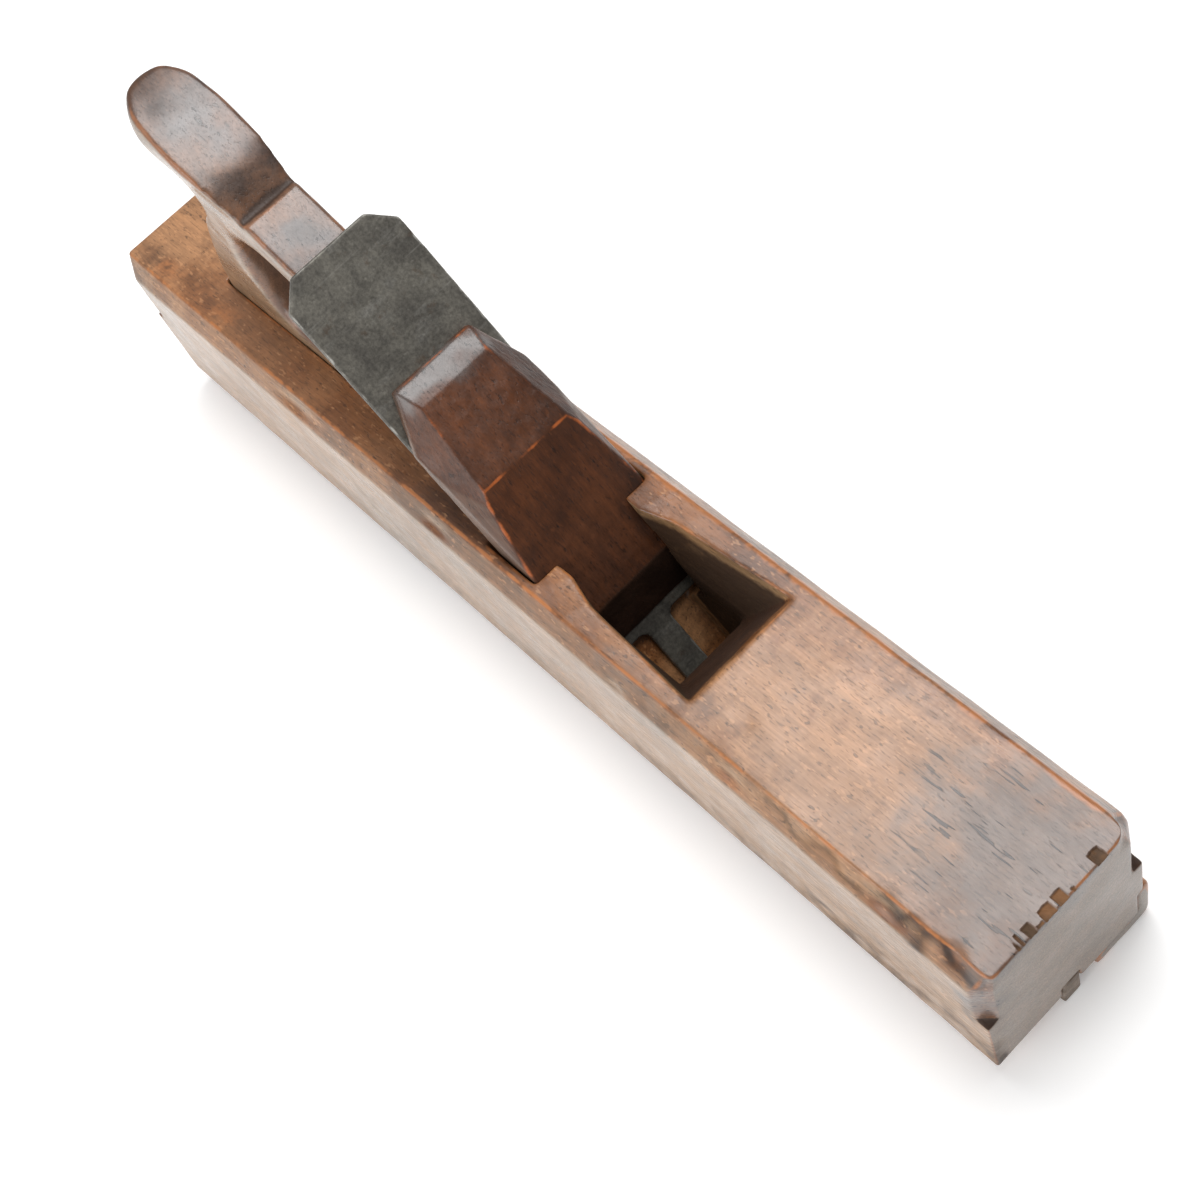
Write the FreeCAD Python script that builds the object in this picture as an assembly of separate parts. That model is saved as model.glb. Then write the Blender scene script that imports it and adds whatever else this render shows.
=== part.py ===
import FreeCAD, Part
import math
import os

# Handled grooving plane of the bench-plane form, in millimetres.
# Modelled with X from the heel (0) to the toe, Y across, Z up from the flat of the sole,
# and the long centre plane at Y = 0. Every piece is moved to the shared origin when it is
# saved: the middle of the overall box, at the height of the surface that the plane stands on.

# ---- driving dimensions ----
body_length = 454.0
body_width = 70.0
body_height = 74.0

top_chamfer_across = 5.2
top_chamfer_down = 8.3
corner_chamfer = 5.5
corner_chamfer_stop = 39.0

# the cutting iron, which is wide above and a narrow stem below
bed_angle = 47.0
iron_deck_x = 232.3
iron_width = 50.0
iron_thickness = 3.5
iron_above_deck = 112.0
iron_clip_across = 8.6
iron_clip_down = 8.5
iron_shoulder_depth = 59.5
stem_width = 11.0
stem_root_radius = 3.0
stem_widens_above_sole = 4.0
stem_widened_above_sole = 1.0
cutting_bevel_angle = 30.0
cutting_edge_below_tongue = 0.3
cutting_edge_past_tongue = 0.2

# the wedge, given along the iron (up from the deck) and out from the iron's face
wedge_width = 52.0
wedge_above_deck = 62.5
wedge_crease_up = 19.8
wedge_crease_out = 19.5
wedge_taper_angle = 6.0
wedge_panel_top_up = 53.5
wedge_panel_top_out = 12.2
wedge_panel_top_half = 15.2
wedge_lip = 6.5
wedge_end_depth = 38.5
wedge_tip_depth = 56.0
wedge_top_half = 17.3
wedge_clip_start_up = 41.0
wedge_arris_half = 21.0
wedge_arris_up = 41.0
wedge_side_out = 6.0
wedge_clip_side_out = 4.0
wedge_run_out_depth = 15.0
wedge_iron_clear = 0.05

# the throat
throat_front_x = 327.0
throat_front_half = 23.8
throat_cheek_half = 16.0
throat_flare_start_x = 262.0
throat_flare_turn_x = 275.0
throat_flare_turn_half = 19.8
throat_flare_depth = 24.0
throat_flare_foot_step = 0.1
abutment_clear = 0.15
slot_side_clear = 0.4
slot_floor_clear = 2.0
bed_clear = 0.1
wear_height = 43.5
mouth_gap = 2.4
mouth_floor = 9.0
mouth_side_clear = 1.5

# the tongue under the sole, in two plates, and the fence
tongue_width = 8.0
tongue_depth = 8.0
tongue_let_in = 7.0
tongue_iron_gap = 0.4
tongue_front_slant = 8.0
board_thickness = 25.0
fence_depth = 9.5
fence_stands_proud = 3.3
fence_rebate_across = 3.0
fence_leg_height = 16.0
fence_round = 3.1
fence_end_inset = 0.5

# screws
fence_screw_count = 6
fence_screw_end = 28.0
fence_screw_head = 8.0
fence_screw_shank = 4.4
fence_screw_length = 26.0
tongue_screw_head = 5.6
tongue_screw_shank = 3.2
tongue_screw_length = 20.0
tongue_screw_end = 18.0
front_screw_count = 3
rear_screw_count = 5
screw_slot_width = 0.9
screw_slot_depth = 0.9
screw_head_angle = 45.0
screw_point_length = 3.0

# the closed handle, called the tote
tote_thickness = 25.3
tote_horn_swell = 2.45
tote_rear_x = 50.0
tote_length = 132.0
tote_let_in = 8.0
tote_grip_round = 4.0
tote_hole_round = 6.0
tote_swell_height = 74.0
tote_horn_height = 110.5

# ---- worked out from the driving dimensions ----
bed_radians = math.radians(bed_angle)
up_iron = FreeCAD.Vector(-math.cos(bed_radians), 0, math.sin(bed_radians))
out_of_iron = FreeCAD.Vector(math.sin(bed_radians), 0, math.cos(bed_radians))
deck_point = FreeCAD.Vector(iron_deck_x, 0, body_height)
body_half = body_width / 2
wedge_half = wedge_width / 2
slot_half = max(wedge_width, iron_width) / 2 + slot_side_clear
mouth_half = stem_width / 2 + mouth_side_clear
tongue_half = tongue_width / 2
fence_inner_y = board_thickness / 2
fence_outer_y = body_half + fence_stands_proud
edge_z = -tongue_depth - cutting_edge_below_tongue
far = 2 * body_length


def on_iron(up, out, across=0.0):
    """The point so far up the iron from the deck, out from its face and across it."""
    return deck_point + up_iron * up + out_of_iron * out + FreeCAD.Vector(0, across, 0)


def iron_face_x(z):
    """Where the iron's front face is at height z."""
    return iron_deck_x + (body_height - z) / math.tan(bed_radians)


def wedge_front_out(up):
    """How far the lower front face of the wedge stands out from the iron."""
    return wedge_crease_out + (up - wedge_crease_up) * math.tan(math.radians(wedge_taper_angle))


mouth_front_x = iron_face_x(0) + mouth_gap


def box(x0, x1, y0, y1, z0, z1):
    return Part.makeBox(x1 - x0, y1 - y0, z1 - z0, FreeCAD.Vector(x0, y0, z0))


def prism(points, direction):
    """A solid swept from a closed outline of points along a direction."""
    outline = Part.makePolygon(list(points) + [points[0]])
    return Part.Face(outline).extrude(direction)


def side_prism(outline, half):
    """A solid from an outline of (x, z) points, as wide as 2 * half about the centre plane."""
    points = [FreeCAD.Vector(x, -half, z) for x, z in outline]
    return prism(points, FreeCAD.Vector(0, 2 * half, 0))


def iron_prism(outline, half):
    """A solid from an outline of (up, out) points measured on the iron."""
    points = [on_iron(up, out, -half) for up, out in outline]
    return prism(points, FreeCAD.Vector(0, 2 * half, 0))


def beyond(point_a, point_b, point_c, outside):
    """A large block that fills the side of a plane where the outside point lies."""
    normal = (point_b - point_a).cross(point_c - point_a).normalize()
    if normal.dot(outside - point_a) < 0:
        normal = normal * -1
    turn = FreeCAD.Rotation(FreeCAD.Vector(0, 0, 1), normal)
    block = Part.makeBox(far, far, far, FreeCAD.Vector(-far / 2, -far / 2, 0))
    block.Placement = FreeCAD.Placement(point_a, turn)
    return block


def curve_through(points):
    """A smooth edge through a few (x, z) points of a side view."""
    spline = Part.BSplineCurve()
    spline.interpolate([FreeCAD.Vector(x, 0, z) for x, z in points])
    return spline.toShape()


def straight(start, end):
    return Part.makeLine(FreeCAD.Vector(start[0], 0, start[1]), FreeCAD.Vector(end[0], 0, end[1]))


# ---- the body ----
def chamfered_block():
    """The beech block with its long top chamfers and its four stopped corner chamfers."""
    block = box(0, body_length, -body_half, body_half, 0, body_height)
    for side in (-1, 1):
        edge = [
            FreeCAD.Vector(0, side * (body_half - top_chamfer_across), body_height),
            FreeCAD.Vector(0, side * body_half, body_height - top_chamfer_down),
            FreeCAD.Vector(0, side * body_half, body_height),
        ]
        block = block.cut(prism(edge, FreeCAD.Vector(body_length, 0, 0)))
        for corner_x, inward in ((0, 1), (body_length, -1)):
            corner = [
                FreeCAD.Vector(corner_x, side * body_half, corner_chamfer_stop),
                FreeCAD.Vector(corner_x + inward * corner_chamfer, side * body_half, corner_chamfer_stop),
                FreeCAD.Vector(corner_x, side * (body_half - corner_chamfer), corner_chamfer_stop),
            ]
            block = block.cut(prism(corner, FreeCAD.Vector(0, 0, body_height)))
    return block


def iron_and_wedge_slot():
    """The tapered slot behind the abutments that holds the iron and the wedge."""
    depth = iron_shoulder_depth + slot_floor_clear
    back = -iron_thickness - bed_clear
    above = wedge_above_deck
    outline = [
        (-depth, back),
        (above, back),
        (above, wedge_front_out(above) + abutment_clear),
        (-depth, wedge_front_out(-depth) + abutment_clear),
    ]
    return iron_prism(outline, slot_half)


def bed_x(z):
    """Where the bed is at height z."""
    return iron_face_x(z) - (iron_thickness + bed_clear) / math.sin(bed_radians)


def throat_cavity():
    """The straight part of the throat, from the deck down to its floor."""
    outline = [
        (bed_x(mouth_floor), mouth_floor),
        (bed_x(body_height), body_height),
        (throat_front_x, body_height),
        (mouth_front_x, wear_height),
        (mouth_front_x, mouth_floor),
    ]
    return side_prism(outline, throat_cheek_half)


def mouth():
    """The narrow way through the sole for the iron's stem and its shavings."""
    outline = [
        (bed_x(0), 0),
        (bed_x(mouth_floor), mouth_floor),
        (mouth_front_x, mouth_floor),
        (mouth_front_x, 0),
    ]
    return side_prism(outline, mouth_half)


def throat_flare(side):
    """The scooped upper cheek on one side, which opens the throat towards the toe."""
    lean = (throat_front_x - mouth_front_x) / (body_height - wear_height)
    low_z = body_height - throat_flare_depth
    low_front_x = throat_front_x - lean * throat_flare_depth

    def outline(z, turn_half, front_half, front_x):
        corners = [
            (throat_flare_start_x, throat_cheek_half),
            (throat_flare_turn_x, turn_half),
            (front_x, front_half),
            (front_x, 0),
            (throat_flare_start_x, 0),
        ]
        points = [FreeCAD.Vector(x, side * half, z) for x, half in corners]
        return Part.makePolygon(points + [points[0]])

    top = outline(body_height, throat_flare_turn_half, throat_front_half, throat_front_x)
    low_turn_half = throat_cheek_half + throat_flare_foot_step
    low = outline(low_z, low_turn_half, low_turn_half + throat_flare_foot_step, low_front_x)
    return Part.makeLoft([low, top], True, True)


def tote_mortise():
    return box(tote_rear_x, tote_rear_x + tote_length, -tote_thickness / 2, tote_thickness / 2,
               body_height - tote_let_in, body_height)


def tongue_groove():
    return box(0, body_length, -tongue_half, tongue_half, 0, tongue_let_in)


def fence_rebate():
    return box(0, body_length, body_half - fence_rebate_across, body_half, 0, fence_leg_height)


def make_body():
    body = chamfered_block()
    body = body.cut(iron_and_wedge_slot())
    body = body.cut(throat_cavity())
    for side in (-1, 1):
        body = body.cut(throat_flare(side))
    for hollow in (mouth(), tote_mortise(), tongue_groove(), fence_rebate()):
        body = body.cut(hollow)
    for screw in fence_screw_shapes() + tongue_screw_shapes():
        body = body.cut(screw)
    return body


# ---- the iron ----
def iron_outline_half():
    """One side of the iron's outline as (up, across), from the top to the cutting edge."""
    half = iron_width / 2
    stem = stem_width / 2
    edge_half = tongue_half + cutting_edge_past_tongue
    sole_up = -body_height / math.sin(bed_radians)
    edge_up = (edge_z - body_height) / math.sin(bed_radians)
    return [
        (iron_above_deck, half - iron_clip_across),
        (iron_above_deck - iron_clip_down, half),
        (-iron_shoulder_depth, half),
        (-iron_shoulder_depth, stem + stem_root_radius),
        (-iron_shoulder_depth - stem_root_radius, stem),
        (sole_up + stem_widens_above_sole, stem),
        (sole_up + stem_widened_above_sole, edge_half),
        (edge_up, edge_half),
    ]


def make_iron():
    """A parallel iron, cut in to a stem below its shoulders, with its bevel on the back."""
    right = iron_outline_half()
    left = [(up, -across) for up, across in reversed(right)]
    points = [on_iron(up, -iron_thickness, across) for up, across in right + left]
    iron = prism(points, out_of_iron * iron_thickness)
    for side in (-1, 1):
        centre = on_iron(-iron_shoulder_depth - stem_root_radius, -iron_thickness,
                         side * (stem_width / 2 + stem_root_radius))
        iron = iron.cut(Part.makeCylinder(stem_root_radius, iron_thickness, centre, out_of_iron))
    edge_up = (edge_z - body_height) / math.sin(bed_radians)
    bevel_length = iron_thickness / math.tan(math.radians(cutting_bevel_angle))
    bevel = [(edge_up, 0), (edge_up + bevel_length, -iron_thickness), (edge_up, -iron_thickness)]
    return iron.cut(iron_prism(bevel, stem_width))


# ---- the wedge ----
def make_wedge():
    """A solid wedge: two front faces that meet in a crease, and chamfered sides."""
    face = wedge_iron_clear
    outline = [
        (-wedge_tip_depth, face),
        (wedge_above_deck, face),
        (wedge_above_deck, wedge_lip),
        (wedge_panel_top_up, wedge_panel_top_out),
        (wedge_crease_up, wedge_crease_out),
        (-wedge_end_depth, wedge_front_out(-wedge_end_depth)),
    ]
    wedge = iron_prism(outline, wedge_half)
    middle_out = wedge_front_out(0) / 2
    for side in (-1, 1):
        outside = on_iron(0, 2 * wedge_crease_out, side * 2 * wedge_half)
        chamfer = beyond(
            on_iron(wedge_arris_up, wedge_panel_out(wedge_arris_up), side * wedge_arris_half),
            on_iron(wedge_arris_up, wedge_side_out, side * wedge_half),
            on_iron(-wedge_run_out_depth, wedge_front_out(-wedge_run_out_depth), side * wedge_half),
            outside)
        wedge = wedge.cut(chamfer)
        corner_up = on_iron(wedge_above_deck, wedge_lip, side * wedge_top_half)
        corner_low = on_iron(wedge_clip_start_up, wedge_clip_side_out, side * wedge_half)
        arris = on_iron(wedge_panel_top_up, wedge_panel_top_out, side * wedge_panel_top_half)
        above = on_iron(2 * wedge_above_deck, middle_out, side * 2 * wedge_half)
        wedge = wedge.cut(beyond(corner_up, corner_low, arris, above))
        square = beyond(corner_up, on_iron(wedge_clip_start_up, 0, side * wedge_half),
                        on_iron(wedge_above_deck, -1, side * wedge_top_half), above)
        wedge = wedge.cut(square)
    return wedge


def wedge_panel_out(up):
    """How far the upper front face of the wedge stands out from the iron."""
    share = (up - wedge_crease_up) / (wedge_panel_top_up - wedge_crease_up)
    return wedge_crease_out + share * (wedge_panel_top_out - wedge_crease_out)


# ---- the tote ----
def tote_outer_wire():
    """The tote's side view: grip, horn, the valley in front of the horn, and the front sweep."""
    deck = body_height
    rear = tote_rear_x
    front = tote_rear_x + tote_length
    foot = deck - tote_let_in
    heel = (rear, deck)
    horn_low = (rear + 12.2, deck + 101)
    horn_tip = (rear + 11.3, deck + 105.5)
    horn_high = (rear + 15.5, deck + 109)
    valley = (rear + 68.5, deck + 78.5)
    arris = (rear + 71.5, deck + 79.5)
    panel_end = (rear + 92, deck + 69.8)
    toe = (front, deck)
    grip = curve_through([heel, (rear + 5, deck + 17), (rear + 14, deck + 36), (rear + 24, deck + 53),
                          (rear + 32.5, deck + 65), (rear + 33, deck + 74), (rear + 26.5, deck + 84),
                          (rear + 18.5, deck + 93), horn_low])
    horn = curve_through([horn_high, (rear + 30, deck + 102), (rear + 43, deck + 96),
                          (rear + 54, deck + 90.5), (rear + 62, deck + 84.5), valley])
    sweep = curve_through([panel_end, (rear + 105, deck + 61), (rear + 116, deck + 48),
                           (rear + 122, deck + 32), (rear + 126, deck + 15), toe])
    tip = Part.Arc(FreeCAD.Vector(horn_low[0], 0, horn_low[1]),
                   FreeCAD.Vector(horn_tip[0], 0, horn_tip[1]),
                   FreeCAD.Vector(horn_high[0], 0, horn_high[1])).toShape()
    edges = [
        straight((rear, foot), heel), grip, tip, horn, straight(valley, arris),
        straight(arris, panel_end), sweep, straight(toe, (front, foot)),
        straight((front, foot), (rear, foot)),
    ]
    return Part.Wire(edges)


def tote_hole_wire():
    """The finger hole, a rounded D that leans with the grip."""
    deck = body_height
    rear = tote_rear_x
    around = [(rear + 42.5, deck + 28), (rear + 42.5, deck + 43), (rear + 48.5, deck + 54),
              (rear + 59, deck + 59.5), (rear + 71, deck + 60), (rear + 84, deck + 55.5),
              (rear + 94, deck + 46), (rear + 100, deck + 32), (rear + 98.5, deck + 16),
              (rear + 88, deck + 7.5), (rear + 70, deck + 6), (rear + 53, deck + 7),
              (rear + 45, deck + 14)]
    spline = Part.BSplineCurve()
    spline.interpolate([FreeCAD.Vector(x, 0, z) for x, z in around], PeriodicFlag=True)
    return Part.Wire([spline.toShape()])


def tote_front_view():
    """A solid with the tote's outline from the front: straight sides that swell into the horn."""
    deck = body_height
    half = tote_thickness / 2
    horn = half + tote_horn_swell
    top = deck + tote_horn_height
    right = Part.BSplineCurve()
    outline = [(half, deck + tote_swell_height), (half + 1.1, deck + 86), (horn, deck + 95),
               (horn - 0.8, deck + 101), (horn - 3, deck + 106.2), (horn - 7, deck + 109), (0, top)]
    right.interpolate([FreeCAD.Vector(0, y, z) for y, z in outline])
    right_edge = right.toShape()
    left_edge = right_edge.mirror(FreeCAD.Vector(0, 0, 0), FreeCAD.Vector(0, 1, 0))
    low = deck - tote_let_in
    straight_edges = [
        Part.makeLine(FreeCAD.Vector(0, -half, deck + tote_swell_height), FreeCAD.Vector(0, -half, low)),
        Part.makeLine(FreeCAD.Vector(0, -half, low), FreeCAD.Vector(0, half, low)),
        Part.makeLine(FreeCAD.Vector(0, half, low), FreeCAD.Vector(0, half, deck + tote_swell_height)),
    ]
    around = Part.Wire(Part.__sortEdges__([right_edge, left_edge] + straight_edges))
    return Part.Face(around).extrude(FreeCAD.Vector(body_length, 0, 0))


def rounded(shape, edges, radius):
    return shape.makeFillet(radius, edges)


def side_solid(wire, half):
    face = Part.Face(wire)
    face.translate(FreeCAD.Vector(0, -half, 0))
    return face.extrude(FreeCAD.Vector(0, 2 * half, 0))


def outline_edges(solid, half, keep):
    """The edges of a side view, on both sides of the solid, whose middle passes a test."""
    edges = []
    for edge in solid.Edges:
        middle = edge.valueAt((edge.FirstParameter + edge.LastParameter) / 2)
        both_ends_on_side = all(abs(abs(vertex.Y) - half) < 0.01 for vertex in edge.Vertexes)
        if both_ends_on_side and abs(abs(middle.y) - half) < 0.01 and keep(middle):
            edges.append(edge)
    return edges


def on_grip(point):
    """Whether a point is on the rear of the grip."""
    return point.x < tote_rear_x + 40 and body_height + 20 < point.z < body_height + 80


def tote_plate(half):
    """The tote's side view at one thickness, with the grip's rear edges rounded."""
    plate = side_solid(tote_outer_wire(), half)
    return rounded(plate, outline_edges(plate, half, on_grip), tote_grip_round)


def make_tote():
    """The closed handle: an even plate with a finger hole, under a horn that swells wider."""
    half = tote_thickness / 2
    horn_base = body_height + tote_swell_height
    tote = tote_plate(half).cut(side_solid(tote_hole_wire(), half))
    hole_edges = [edge for edge in outline_edges(tote, half, lambda point: True)
                  if len(edge.Vertexes) == 1]
    tote = rounded(tote, hole_edges, tote_hole_round)
    horn_space = box(0, body_length, -body_half, body_half, horn_base, 2 * horn_base)
    horn = tote_plate(half + tote_horn_swell).common(tote_front_view()).common(horn_space)
    return tote.fuse(horn).removeSplitter().common(tote_front_view())


# ---- the tongue and the fence ----
def tongue_plate(rear_low, rear_high, front_low, front_high):
    """A tongue plate, from where its two ends are at its lower and its upper edge."""
    outline = [(rear_low, -tongue_depth), (rear_high, tongue_let_in),
               (front_high, tongue_let_in), (front_low, -tongue_depth)]
    plate = side_prism(outline, tongue_half)
    for screw in tongue_screw_shapes():
        plate = plate.cut(screw)
    return plate


def make_tongue_rear():
    """The plate behind the mouth, whose front end follows the slope of the iron."""
    gap = tongue_iron_gap / math.sin(bed_radians)
    return tongue_plate(0, 0, bed_x(-tongue_depth) - gap, bed_x(tongue_let_in) - gap)


def make_tongue_front():
    """The plate in front of the mouth, sloped at its rear end to let shavings in."""
    return tongue_plate(mouth_front_x + tongue_front_slant, mouth_front_x, body_length, body_length)


def make_fence():
    """An L-shaped strip under and beside the sole, with its outer corners rounded."""
    outline = [
        (fence_inner_y, -fence_depth),
        (fence_outer_y, -fence_depth),
        (fence_outer_y, fence_leg_height),
        (body_half - fence_rebate_across, fence_leg_height),
        (body_half - fence_rebate_across, 0),
        (fence_inner_y, 0),
    ]
    points = [FreeCAD.Vector(fence_end_inset, y, z) for y, z in outline]
    fence = prism(points, FreeCAD.Vector(body_length - 2 * fence_end_inset, 0, 0))
    outer = [edge for edge in fence.Edges
             if abs(edge.CenterOfMass.y - fence_outer_y) < 0.01 and edge.Length > body_length / 2]
    fence = rounded(fence, outer, fence_round)
    for screw in fence_screw_shapes():
        fence = fence.cut(screw)
    return fence


# ---- the screws ----
def spaced(start, end, count):
    step = (end - start) / (count - 1)
    return [start + step * index for index in range(count)]


def screw_up(x, y, face_z, head, shank, length):
    """A countersunk wood screw driven upwards from a face."""
    head_depth = (head - shank) / 2 / math.tan(math.radians(screw_head_angle))
    base = FreeCAD.Vector(x, y, face_z)
    cone = Part.makeCone(head / 2, shank / 2, head_depth, base)
    stem_length = length - screw_point_length
    stem = Part.makeCylinder(shank / 2, stem_length, base)
    point_base = base + FreeCAD.Vector(0, 0, stem_length)
    point = Part.makeCone(shank / 2, shank / 8, screw_point_length, point_base)
    return cone.fuse(stem).fuse(point).removeSplitter()


def fence_screw_places():
    return spaced(fence_screw_end, body_length - fence_screw_end, fence_screw_count)


def fence_screw_shapes():
    y = (fence_inner_y + body_half) / 2
    return [screw_up(x, y, -fence_depth, fence_screw_head, fence_screw_shank, fence_screw_length)
            for x in fence_screw_places()]


def tongue_screw_places():
    rear_end = bed_x(tongue_let_in) - 2 * tongue_screw_end
    front_start = mouth_front_x + tongue_screw_end
    rear = spaced(tongue_screw_end, rear_end, rear_screw_count)
    front = spaced(front_start, body_length - tongue_screw_end, front_screw_count)
    return rear + front


def tongue_screw_shapes():
    return [screw_up(x, 0, -tongue_depth, tongue_screw_head, tongue_screw_shank, tongue_screw_length)
            for x in tongue_screw_places()]


def slotted(screws, places, y, face_z, head):
    """The screws with a driver slot across each head."""
    cut = []
    for screw, x in zip(screws, places):
        slot = box(x - head, x + head, y - screw_slot_width / 2, y + screw_slot_width / 2,
                   face_z, face_z + screw_slot_depth)
        cut.append(screw.cut(slot))
    return Part.makeCompound(cut)


def make_fence_screws():
    y = (fence_inner_y + body_half) / 2
    return slotted(fence_screw_shapes(), fence_screw_places(), y, -fence_depth, fence_screw_head)


def make_tongue_screws():
    return slotted(tongue_screw_shapes(), tongue_screw_places(), 0, -tongue_depth, tongue_screw_head)


# ---- saving ----
to_shared_origin = FreeCAD.Vector(-body_length / 2, -fence_stands_proud / 2, max(fence_depth, tongue_depth))

nodes = {
    "body": make_body,
    "tote": make_tote,
    "cutting_iron": make_iron,
    "wedge": make_wedge,
    "tongue_rear": make_tongue_rear,
    "tongue_front": make_tongue_front,
    "fence": make_fence,
    "fence_screws": make_fence_screws,
    "tongue_screws": make_tongue_screws,
}

os.makedirs("parts", exist_ok=True)
for name, make in nodes.items():
    shape = make()
    shape.translate(to_shared_origin)
    shape.exportStep("parts/" + name + ".step")
    print(name, "solids", len(shape.Solids), "valid", shape.isValid(), "volume", round(shape.Volume))
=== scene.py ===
import math
from types import SimpleNamespace

import bmesh
import bpy
import numpy as np
from mathutils import Matrix, Vector


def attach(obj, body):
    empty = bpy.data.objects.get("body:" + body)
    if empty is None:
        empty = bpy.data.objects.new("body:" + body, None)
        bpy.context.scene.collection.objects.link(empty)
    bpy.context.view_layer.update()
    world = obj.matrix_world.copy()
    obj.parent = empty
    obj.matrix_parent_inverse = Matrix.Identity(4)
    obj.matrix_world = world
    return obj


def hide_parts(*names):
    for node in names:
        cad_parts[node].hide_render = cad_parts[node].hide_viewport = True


# An old handled grooving plane in beech. Lengths are in metres in the frame's own axes, unless a
# name ends in _mm: those are millimetres on the plane itself, X from the heel, Y from the long
# centre plane and Z from the flat of the sole, like the CAD source.

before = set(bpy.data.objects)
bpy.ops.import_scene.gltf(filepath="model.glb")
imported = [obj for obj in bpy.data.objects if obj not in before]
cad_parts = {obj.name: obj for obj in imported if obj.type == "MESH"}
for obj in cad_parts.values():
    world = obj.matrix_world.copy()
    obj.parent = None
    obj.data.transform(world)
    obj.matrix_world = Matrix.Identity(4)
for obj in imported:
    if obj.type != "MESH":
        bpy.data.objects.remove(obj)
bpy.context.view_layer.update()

MM = 0.001
heel_sole_centre = Vector((-227.0, -1.65, 9.5))
body_length_mm = 454.0
body_height_mm = 74.0
deck_half_mm = 29.8
iron_at_deck_mm = 232.3
bed_angle = math.radians(47.0)


def at(x_mm, y_mm, z_mm):
    """A point on the plane, given in millimetres, in the frame's metres."""
    return (Vector((x_mm, y_mm, z_mm)) + heel_sole_centre) * MM


# ---- mesh tools ----
def positions(mesh):
    flat = np.empty(len(mesh.vertices) * 3, np.float64)
    mesh.vertices.foreach_get("co", flat)
    return flat.reshape(-1, 3)


def normals(mesh):
    flat = np.empty(len(mesh.vertices) * 3, np.float32)
    mesh.vertices.foreach_get("normal", flat)
    return flat.reshape(-1, 3).astype(np.float64)


def set_positions(mesh, points):
    mesh.vertices.foreach_set("co", points.astype(np.float32).ravel())
    mesh.update()


def neighbour_mean(mesh):
    """A function that gives each vertex the mean of its neighbours' values."""
    count = len(mesh.vertices)
    ends = np.empty(len(mesh.edges) * 2, np.int32)
    mesh.edges.foreach_get("vertices", ends)
    first, second = ends[0::2], ends[1::2]
    degree = np.maximum(np.bincount(ends, minlength=count), 1)

    def mean(values):
        total = np.empty_like(values)
        for axis in range(values.shape[1]):
            total[:, axis] = (np.bincount(first, values[second, axis], count)
                              + np.bincount(second, values[first, axis], count))
        return total / degree[:, None]

    return mean


def smoothed(points, mean, rounds):
    for _ in range(rounds):
        points = 0.5 * points + 0.5 * mean(points)
    return points


def waves(points, wavelength, seed, count=9):
    """Smooth pseudo-random values, mostly within -1 to 1, that vary over about a wavelength."""
    random = np.random.RandomState(seed)
    directions = random.normal(size=(count, 3))
    directions /= np.linalg.norm(directions, axis=1)[:, None]
    lengths = wavelength * random.uniform(0.6, 1.7, count)
    phases = random.uniform(0, 2 * math.pi, count)
    angle = points @ (directions.T * (2 * math.pi / lengths)) + phases
    spread = 1.6 * math.sqrt(count / 2)
    return np.sin(angle).sum(1) / spread


def smoothstep(values, low, high):
    share = np.clip((values - low) / (high - low), 0, 1)
    return share * share * (3 - 2 * share)


def blob(points, centre, radii_mm):
    """One at a centre, falling softly to nothing about a radius away along each axis."""
    offset = (points - np.array(centre)) / (np.array(radii_mm) * MM)
    return np.exp(-(offset * offset).sum(1))


def along_arris(points, y_mm, z_mm, width_mm):
    """One on a long arris of the stock, falling to nothing about a width away from it."""
    line = at(0, y_mm, z_mm)
    away = ((points[:, 1] - line[1]) ** 2 + (points[:, 2] - line[2]) ** 2) / (width_mm * MM) ** 2
    return np.exp(-away)


def place_on_bed(points):
    """How far each point is down the bed from the deck, and how far it stands off the bed."""
    start = at(iron_at_deck_mm, 0, body_height_mm)
    forward = points[:, 0] - start[0]
    upward = points[:, 2] - start[2]
    down = forward * math.cos(bed_angle) - upward * math.sin(bed_angle)
    off = forward * math.sin(bed_angle) + upward * math.cos(bed_angle)
    return down, off


def store(mesh, name, values):
    layer = mesh.attributes.new(name, "FLOAT", "POINT")
    layer.data.foreach_set("value", values.astype(np.float32))


def evaluated_mesh(piece):
    graph = bpy.context.evaluated_depsgraph_get()
    return bpy.data.meshes.new_from_object(piece.evaluated_get(graph))


def remeshed_copy(node, voxel_mm):
    """An even, dense copy of a CAD node's mesh."""
    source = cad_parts[node]
    piece = bpy.data.objects.new(node + "_worn", source.data.copy())
    bpy.context.scene.collection.objects.link(piece)
    piece.data.materials.clear()
    weld = piece.modifiers.new("weld", "WELD")
    weld.merge_threshold = 0.01 * MM
    remesh = piece.modifiers.new("remesh", "REMESH")
    remesh.mode = "VOXEL"
    remesh.voxel_size = voxel_mm * MM
    mesh = evaluated_mesh(piece)
    piece.modifiers.clear()
    piece.data = mesh
    mesh.shade_smooth()
    return piece


# ---- wear and marks ----
settling_rounds = 3
crest_rounds = 4
hollow_wear = 0.15
full_hollow_mm = 0.3
crest_from_mm = 0.02
crest_to_mm = 0.11


def rubbed_crests(mesh, worn, mean, lively, rubbed, keep):
    """How far the finish is rubbed off each spot, which happens on crests and where a hand lies."""
    crest = ((worn - smoothed(worn, mean, crest_rounds)) * normals(mesh)).sum(1) / MM
    wear = smoothstep(crest, crest_from_mm, crest_to_mm) * (0.2 + 0.8 * lively)
    if keep is not None:
        wear = wear * keep(worn)
    if rubbed is not None:
        wear = np.maximum(wear, rubbed(worn) * (0.45 + 0.55 * lively))
    return wear


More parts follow.
